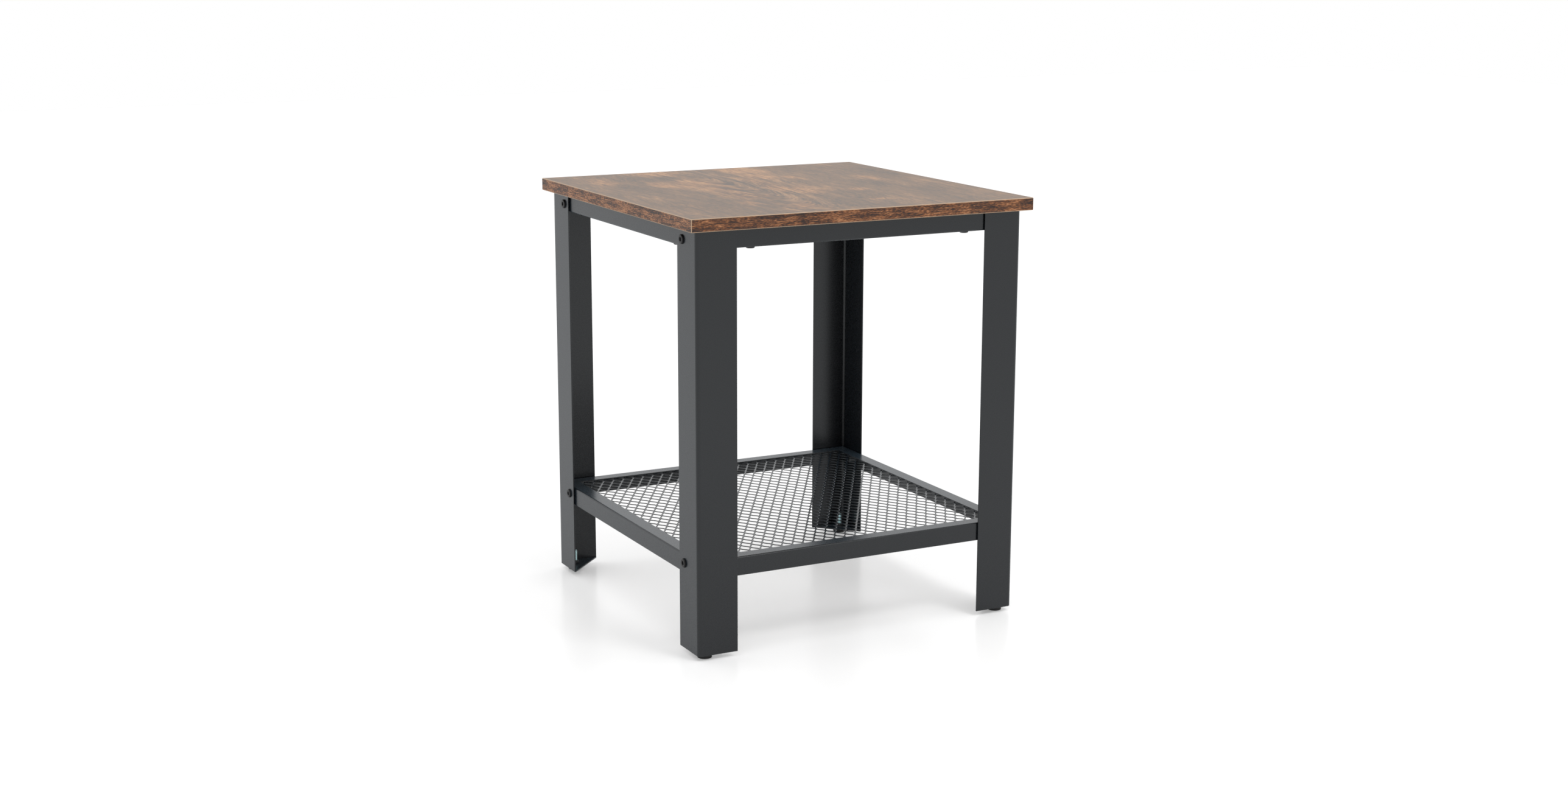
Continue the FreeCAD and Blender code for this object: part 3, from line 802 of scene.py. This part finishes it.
def expanded_metal():
    """Strips of a sheet. Along Y, a triangle wave swings each strip from its left bond, at -1, to
    its right bond, at 1; it is held flat at each bond for the bond's length, and partly replaced by
    its sine, which rounds its turns. The wave moves the strip sideways and, with the opposite sign,
    up and down, since the bonds are tipped. The strip's wide side is the tipped direction made
    square to the path's own direction."""
    strips = np.arange(STRIP_COUNT) - STRIP_COUNT // 2
    half_count = math.floor(MESH_HALF / ROW_STEP) * STATIONS_PER_ROW
    y = np.arange(-half_count, half_count + 1) * ROW_STEP / STATIONS_PER_ROW
    y = np.concatenate([[-MESH_HALF], y, [MESH_HALF]])
    row = y[None, :] / ROW_STEP + strips[:, None]
    triangle = 1.0 - 2.0 * np.abs((row % 2.0) - 1.0)
    held = np.clip(-triangle * ROW_STEP / (ROW_STEP - BOND_LENGTH), -1.0, 1.0)
    wave = (1.0 - ZIGZAG_ROUNDING) * held + ZIGZAG_ROUNDING * np.sin(held * math.pi / 2)
    half_bond = STRAND_WIDTH / 2 * math.cos(TIP)
    x = (strips[:, None] + 0.5) * COLUMN_STEP + wave * (COLUMN_STEP / 2 - half_bond)
    x = np.clip(x, -MESH_HALF + half_bond, MESH_HALF - half_bond)
    z = MESH_MIDDLE_Z - wave * STRAND_WIDTH / 2 * math.sin(TIP)
    path = np.stack([x, np.broadcast_to(y, x.shape), z], axis=-1)
    ahead = np.gradient(path, axis=1)
    ahead /= np.linalg.norm(ahead, axis=-1, keepdims=True)
    tipped = np.array([math.cos(TIP), 0.0, math.sin(TIP)])
    wide = tipped - ahead * (ahead @ tipped)[..., None]
    wide /= np.linalg.norm(wide, axis=-1, keepdims=True)
    thick = np.cross(wide, ahead)
    across = np.array([-1.0, 1.0, 1.0, -1.0]) * STRAND_WIDTH / 2
    through = np.array([-1.0, -1.0, 1.0, 1.0]) * STRAND_THICKNESS / 2
    grid = (path[:, :, None, :] + wide[:, :, None, :] * across[:, None]
            + thick[:, :, None, :] * through[:, None])
    strip_points, strip_faces = capped(grid[0])
    starts = len(strip_points) * np.arange(STRIP_COUNT)[:, None, None]
    return grid.reshape(-1, 3), (starts + np.array(strip_faces)).reshape(-1, 4).tolist()


# %% [markdown]
# The strips' cut ends are closed off by a thin band round the sheet, which lies flat against the
# ring's flange.

# %% Shelf rim
RIM_WIDTH, RIM_EDGE = 2.0, 0.3
SHELF_BOTTOM = LOWER_RING_TOP - 2 * SHEET


def shelf_rim():
    """Thin band that closes the sheet's edge: a small rectangle carried round a square, with the
    four corners of each loop in order."""
    corners = [(0, 0), (RIM_WIDTH, 0), (RIM_WIDTH, SHEET), (0, SHEET)]
    outline, _ = rounded_outline(corners, [RIM_EDGE] * 4, steps=2)
    signs = np.array([(-1, -1), (1, -1), (1, 1), (-1, 1)], float)
    flat = signs[:, None, :] * (MESH_HALF - outline[:, 0])[None, :, None]
    return capped(with_height(flat, SHELF_BOTTOM + outline[:, 1]), close_rows=True)


strands, rim = expanded_metal(), shelf_rim()
points, faces = several([(points * MM, outward(points, faces)) for points, faces in (strands, rim)])
add_piece("expanded_metal_shelf", points, faces, "table", ["mesh_panel"], sharp_angle=50.0)
strand_z = strands[0][:, 2]
print("strands' height range:", strand_z.min().round(2), strand_z.max().round(2), "mm")

# %% [markdown]
# ## Turned pieces
# Bolts, pads, rivet nuts and studs are round. Their profile, a list of radius and height, is turned
# about an axis. A Screw modifier could do that too, but not where the radius depends on the angle.
# For a hexagon it does: it is half the width across flats over the cosine of the angle from the
# nearest flat's middle. The smaller of that and a cone gives a hexagon its chamfered corners. A
# screw thread's radius follows both angle and height.

# %% Helpers for round pieces
COLUMNS = 48
turn_angles = np.arange(COLUMNS) * 2 * math.pi / COLUMNS
THREAD_PITCH = 1.0
THREAD_FLAT = 0.15


def round_ring(radius):
    """The same radius at every angle."""
    return np.full(COLUMNS, float(radius))


def hex_ring(flats):
    """Radius of a hexagon at each angle: half its flats over the cosine of the angle from the
    middle of the nearest flat."""
    sixth = math.pi / 3
    return flats / 2 / np.cos((turn_angles % sixth) - sixth / 2)


def thread_radii(heights, major, depth):
    """Radii of a screw thread, one row for each height: the major radius less a ridge wave. The
    wave's phase is height over pitch less angle over a full turn, folded into a triangle whose
    crests and roots are cut flat."""
    phase = heights[:, None] / THREAD_PITCH - turn_angles[None, :] / (2 * math.pi)
    fold = np.abs(2.0 * (phase % 1.0) - 1.0)
    return major - depth * np.clip((fold - THREAD_FLAT) / (1.0 - 2.0 * THREAD_FLAT), 0.0, 1.0)


def spun(rings, heights):
    """Grid of points about the Z axis: one row for each ring, whose radii may differ by angle."""
    radii = np.stack(rings)
    heights = np.broadcast_to(np.asarray(heights, float)[:, None], radii.shape)
    return np.stack([radii * np.cos(turn_angles), radii * np.sin(turn_angles), heights], axis=-1)


def arc_profile(centre_r, centre_z, radius_r, radius_z, start, end, steps):
    """Points (radius, height) on part of an ellipse between two angles in degrees: the centre plus
    the half sizes times the angle's cosine and sine."""
    t = np.radians(np.linspace(start, end, steps + 1))
    return list(zip(centre_r + radius_r * np.cos(t), centre_z + radius_z * np.sin(t)))


def turned_profile(profile):
    """Rings and heights for a profile of (radius, height) pairs."""
    return [round_ring(r) for r, z in profile], [z for r, z in profile]


def standing(points, place, axis):
    """Carry a shape from the Z axis to a place, with its Z axis turned to the given one."""
    turn = np.array(Vector((0, 0, 1)).rotation_difference(Vector(axis)).to_matrix())
    return points @ turn.T + np.asarray(place, float)


def many(shape, places, axis):
    """Copies of a shape at several places, as one mesh in metres."""
    points, faces = shape
    return several([(standing(points, place, axis) * MM, faces) for place in places])


# %% [markdown]
# ## Button-head bolts and board screws
# The head is a low dome over a short upright rim, with a hexagon socket sunk into it. One closed
# grid makes the whole bolt: up the threaded shank, out under the head, over the dome, over the
# socket's chamfered mouth, down its hexagonal wall and across its floor.

# %% Shape of a bolt
BOLT_RADIUS, BOLT_THREAD_DEPTH = 2.95, 0.45
BOLT_ROWS_PER_TURN = 6
BOLT_TIP_RADIUS = BOLT_RADIUS - 0.7
THREAD_END = -0.3
HEAD_EDGE = 0.15
SOCKET_FLATS, SOCKET_CHAMFER = 4.6, 0.3


def button_bolt(head_radius, head_height, shank_length):
    """Bolt along Z with the underside of its head at 0. The thread ends in a cone, the smaller of
    its own radius and one that grows with height; the dome is part of an ellipse."""
    count = int(shank_length / THREAD_PITCH * BOLT_ROWS_PER_TURN)
    thread_z = np.linspace(-shank_length, THREAD_END, count)
    cone = BOLT_TIP_RADIUS + (thread_z + shank_length)
    thread = thread_radii(thread_z, BOLT_RADIUS, BOLT_THREAD_DEPTH)
    rings, heights = list(np.minimum(thread, cone[:, None])), list(thread_z)

    rim = head_height * 0.35
    flat = head_radius * 0.8
    head = [(BOLT_RADIUS, 0.0), (head_radius - HEAD_EDGE, 0.0), (head_radius, HEAD_EDGE)]
    head += arc_profile(flat, rim, head_radius - flat, head_height - rim, 0, 88, 7)
    head += [(flat - 0.2, head_height)]
    head_rings, head_heights = turned_profile(head)

    socket_floor = head_height * 0.4
    socket_rings = [hex_ring(SOCKET_FLATS + SOCKET_CHAMFER), hex_ring(SOCKET_FLATS),
                    hex_ring(SOCKET_FLATS), round_ring(1.2)]
    socket_heights = [head_height, head_height - 0.25, socket_floor, socket_floor - 0.35]
    points, faces = capped(spun(rings + head_rings + socket_rings,
                                heights + head_heights + socket_heights))
    return points, outward(points, faces)


# %% Leg bolts
LEG_BOLT_Y = 175.0
LEG_BOLT_HEIGHTS = {"upper": 482.0, "lower": 108.5}


def four_in_legs(shape, half_width, height, direction):
    """A shape at the four places where one ring's side bars meet the legs. Its Z axis points away
    from the table for a direction of 1, and into it for -1."""
    sides = []
    for side_x in (-1, 1):
        places = [(side_x * half_width, side_y * LEG_BOLT_Y, height) for side_y in (-1, 1)]
        sides.append(many(shape, places, (side_x * direction, 0, 0)))
    return several(sides)


leg_bolt = button_bolt(head_radius=5.5, head_height=2.1, shank_length=10.0)
for ring, height in LEG_BOLT_HEIGHTS.items():
    points, faces = four_in_legs(leg_bolt, LEG_CORNER, height, 1)
    add_piece(f"{ring}_button_bolts", points, faces, "table", [f"{ring}_leg_bolts"])

# %% Board screws
SCREW_ALONG_BAR, SCREW_FROM_MIDDLE = 140.0, 200.5
board_screw = button_bolt(head_radius=5.2, head_height=2.1, shank_length=30.0)
screw_places = [
    (side_x * x, side_y * y, UPPER_RING_BOTTOM)
    for x, y in ((SCREW_ALONG_BAR, SCREW_FROM_MIDDLE), (SCREW_FROM_MIDDLE, SCREW_ALONG_BAR))
    for side_x in (-1, 1) for side_y in (-1, 1)
]
points, faces = many(board_screw, screw_places, (0, 0, -1))
add_piece("board_button_screws", points, faces, "table", ["board_screws"])

# %% [markdown]
# ## Rivet nuts
# Sheet this thin can't hold a thread, so each bolt goes into a rivet nut: a sleeve that is squeezed
# until it bulges behind the bar. Its thin head keeps leg and bar 1 mm apart, and that head is all
# that shows. The profile runs closed, so the grid's rows are joined into a ring.

# %% Rivet nuts
BORE = 3.05
NUT_HEAD, NUT_BARREL = 5.5, 4.5
NUT_LENGTH = 12.0


def rivet_nut():
    """Flanged sleeve: thin head against the leg, bulge behind the bar, plain barrel with an open
    bore. The bulge is part of an ellipse."""
    profile = [(BORE, 0.0), (NUT_HEAD - 0.2, 0.0), (NUT_HEAD, 0.2), (NUT_HEAD, 0.9)]
    profile += [(NUT_BARREL, 1.0), (NUT_BARREL, 2.5), (NUT_BARREL + 0.5, 2.55)]
    profile += arc_profile(NUT_BARREL, 3.5, 0.7, 0.95, -70, 70, 6)
    profile += [(NUT_BARREL, 4.6), (NUT_BARREL, NUT_LENGTH - 0.3), (NUT_BARREL - 0.3, NUT_LENGTH)]
    profile += [(BORE + 0.25, NUT_LENGTH), (BORE, NUT_LENGTH - 0.25)]
    points, faces = capped(spun(*turned_profile(profile)), close_rows=True)
    return points, outward(points, faces)


for ring, height in LEG_BOLT_HEIGHTS.items():
    # the sleeves take the zinc that is darkened as painted shade for the gap
    points, faces = four_in_legs(rivet_nut(), LEG_CORNER - SHEET, height, -1)
    add_piece(f"{ring}_rivet_sleeves", points, faces, "table", [f"{ring}_rivet_nuts"],
              finish=dull_zinc)

# %% [markdown]
# ## Levelling feet
# A zinc stud turns in a nut welded to the leg's foot plate, and its flat head is held in a round
# black pad. The thread is a real helix. The nut's chamfered corners come from the smaller of a
# hexagon and a cone. The pad has a soft lower edge, a shallow groove round its side and a short
# neck.

# %% Studs
FOOT = 197.4
NUT_BOTTOM, NUT_TOP, NUT_FLATS = 7.5, 11.5, 10.0
STUD_RADIUS, STUD_THREAD_DEPTH = 2.97, 0.5
STUD_TIP_RADIUS = 2.3
STUD_THREAD_BOTTOM, STUD_TOP = 3.3, NUT_TOP + 13.7
STUD_ROWS_PER_MM = 8


def threaded_stud():
    """Disc, neck and thread of the stud from the bottom up. The tip is cut back by a cone: the
    radius there is the smaller of the thread's and one that shrinks with height."""
    disc = [(4.6, 1.4), (5.0, 1.6), (5.0, 2.7), (4.8, 2.9), (2.5, 2.9), (2.5, 3.2)]
    rings, heights = turned_profile(disc)
    count = int((STUD_TOP - STUD_THREAD_BOTTOM) * STUD_ROWS_PER_MM)
    thread_z = np.linspace(STUD_THREAD_BOTTOM, STUD_TOP, count)
    cone = STUD_TIP_RADIUS + (STUD_TOP - thread_z)
    thread = thread_radii(thread_z, STUD_RADIUS, STUD_THREAD_DEPTH)
    rings += list(np.minimum(thread, cone[:, None]))
    return capped(spun(rings, heights + list(thread_z)))


# %% Weld nuts
NUT_END_RADIUS, NUT_CONE_SLOPE = 4.95, 1.6


def weld_nut():
    """Hexagon nut whose bore widens at both ends. Its outside is the smaller of the hexagon's
    radius and a cone's, which grows with the distance from the nearer end."""
    outside = np.array([NUT_BOTTOM, NUT_BOTTOM + 0.3, NUT_BOTTOM + 0.6,
                        NUT_TOP - 0.6, NUT_TOP - 0.3, NUT_TOP])
    from_end = np.minimum(outside - NUT_BOTTOM, NUT_TOP - outside)
    cone = NUT_END_RADIUS + from_end[:, None] * NUT_CONE_SLOPE
    rings = list(np.minimum(hex_ring(NUT_FLATS), cone))
    bore = [(3.5, NUT_TOP), (BORE, NUT_TOP - 0.4), (BORE, NUT_BOTTOM + 0.4), (3.5, NUT_BOTTOM)]
    bore_rings, bore_heights = turned_profile(bore)
    return capped(spun(rings + bore_rings, list(outside) + bore_heights), close_rows=True)


# %% Pads
PAD_EDGE = 0.8
PAD_CORNER = 7.7


def round_pad():
    """Pad from the floor up: soft lower edge, groove, soft upper edge, neck, and the pocket that
    holds the stud's disc."""
    profile = [(7.4, 0.0)] + arc_profile(PAD_CORNER, PAD_EDGE, PAD_EDGE, PAD_EDGE, -90, 0, 5)
    profile += [(8.5, 1.5), (8.3, 1.7), (8.3, 2.0), (8.5, 2.2)]
    profile += arc_profile(PAD_CORNER, 5.0 - PAD_EDGE, PAD_EDGE, PAD_EDGE, 0, 90, 5)
    profile += [(5.6, 5.0), (5.5, 5.1), (5.5, 5.5), (5.3, 5.7), (3.25, 5.7), (BORE, 5.5)]
    profile += [(BORE, 3.1), (5.2, 3.1), (5.2, 1.2)]
    return capped(spun(*turned_profile(profile)))


# %% Four feet
stud_shape, nut_shape, pad_shape = threaded_stud(), weld_nut(), round_pad()
for corner, (sign_x, sign_y) in CORNERS.items():
    place = np.array([-FOOT * sign_x, -FOOT * sign_y, 0.0])
    for name, shape, body, node in (
        ("threaded_stud_", stud_shape, "stud_" + corner, "foot_stud_" + corner),
        ("weld_nut_", nut_shape, "table", "foot_nut_" + corner),
        ("round_pad_", pad_shape, "pad_" + corner, "foot_pad_" + corner),
    ):
        shape_points, shape_faces = shape
        points = (shape_points + place) * MM
        add_piece(name + corner, points, outward(shape_points, shape_faces), body, [node])

# %% [markdown]
# ## CAD pieces that stay
# The board, its edge bands, the foot plates and the hidden inserts already have their real shape.
# They only need their materials, so each node's slots are filled with the finish that the record
# names for it. The side bands take the version of the print whose grain runs along Y, made lighter
# as painted light for the brighter sheen that the side faces catch.

# %% Dress the CAD nodes
for name, node in frame["nodes"].items():
    if node.hide_render:
        continue
    finish = material_of_slot[slot_of[name]]
    # side bands: the print along Y, painted lighter for the light that their faces catch
    if name in ("edge_band_left", "edge_band_right"):
        finish = side_band_painted_lighter
    node.data.materials.clear()
    node.data.materials.append(finish)
    print("kept", name, "with", finish.name)

# %% [markdown]
# ## Floor and light
# A white studio. Lamps alone would leave the glossy coat with black reflections, so most of the
# light is one even white dome, and its strength of 1 shows each colour as it is written. A soft
# lamp above the front right makes the faces differ. The floor is white and very slightly glossy. It
# keeps the table's soft shadow and a faint reflection of the legs. For the camera it is a touch
# lighter than for other rays, which lets it run into the white background.

# %% Floor
FLOOR_HALF = 8.0
WHITE = (1.0, 1.0, 1.0, 1.0)
GLOW_FOR_CAMERA, GLOW_FOR_MIRRORS = 0.25, 0.05

floor_mesh = bpy.data.meshes.new("floor")
floor_corners = np.array([(-1, -1, 0), (1, -1, 0), (1, 1, 0), (-1, 1, 0)], float) * FLOOR_HALF
floor_mesh.from_pydata(floor_corners, [], [[0, 1, 2, 3]])
floor = bpy.data.objects.new("floor", floor_mesh)
bpy.context.scene.collection.objects.link(floor)
floor_material, floor_shader, floor_tree = new_material("studio_floor")
floor_shader.inputs["Base Color"].default_value = (0.85, 0.85, 0.85, 1.0)
floor_shader.inputs["Roughness"].default_value = 0.22
floor_shader.inputs["IOR"].default_value = 1.3
floor_shader.inputs["Emission Color"].default_value = WHITE
light_path = floor_tree.nodes.new("ShaderNodeLightPath")
mirrored_rays = maths(floor_tree, "MAXIMUM", light_path.outputs["Is Glossy Ray"],
                      light_path.outputs["Is Transmission Ray"])
glow = plus(floor_tree,
            times(floor_tree, light_path.outputs["Is Camera Ray"], GLOW_FOR_CAMERA),
            times(floor_tree, mirrored_rays, GLOW_FOR_MIRRORS))
feed(floor_tree, floor_shader.inputs["Emission Strength"], glow)
floor_mesh.materials.append(floor_material)
print("floor:", 2 * FLOOR_HALF, "m wide")

# %% Light
LAMP_PLACE, LAMP_TARGET = Vector((0.57, -1.6, 2.05)), Vector((0.0, 0.0, 0.1))
LAMP_SIZE, LAMP_POWER = 0.65, 13.0

world = bpy.data.worlds.new("white_studio")
bpy.context.scene.world = world
world.use_nodes = True
world_tree = world.node_tree
world_tree.nodes.clear()
sky = world_tree.nodes.new("ShaderNodeBackground")
sky.inputs["Color"].default_value = WHITE
sky.inputs["Strength"].default_value = 1.0
world_output = world_tree.nodes.new("ShaderNodeOutputWorld")
world_tree.links.new(sky.outputs[0], world_output.inputs["Surface"])

lamp_data = bpy.data.lights.new("key_light", "AREA")
lamp_data.shape = "SQUARE"
lamp_data.size = LAMP_SIZE
lamp_data.energy = LAMP_POWER
lamp = bpy.data.objects.new("key_light", lamp_data)
bpy.context.scene.collection.objects.link(lamp)
lamp.location = LAMP_PLACE
lamp.rotation_euler = (LAMP_TARGET - LAMP_PLACE).to_track_quat("-Z", "Y").to_euler()
print("world strength:", sky.inputs["Strength"].default_value, "lamp power:", LAMP_POWER, "W")
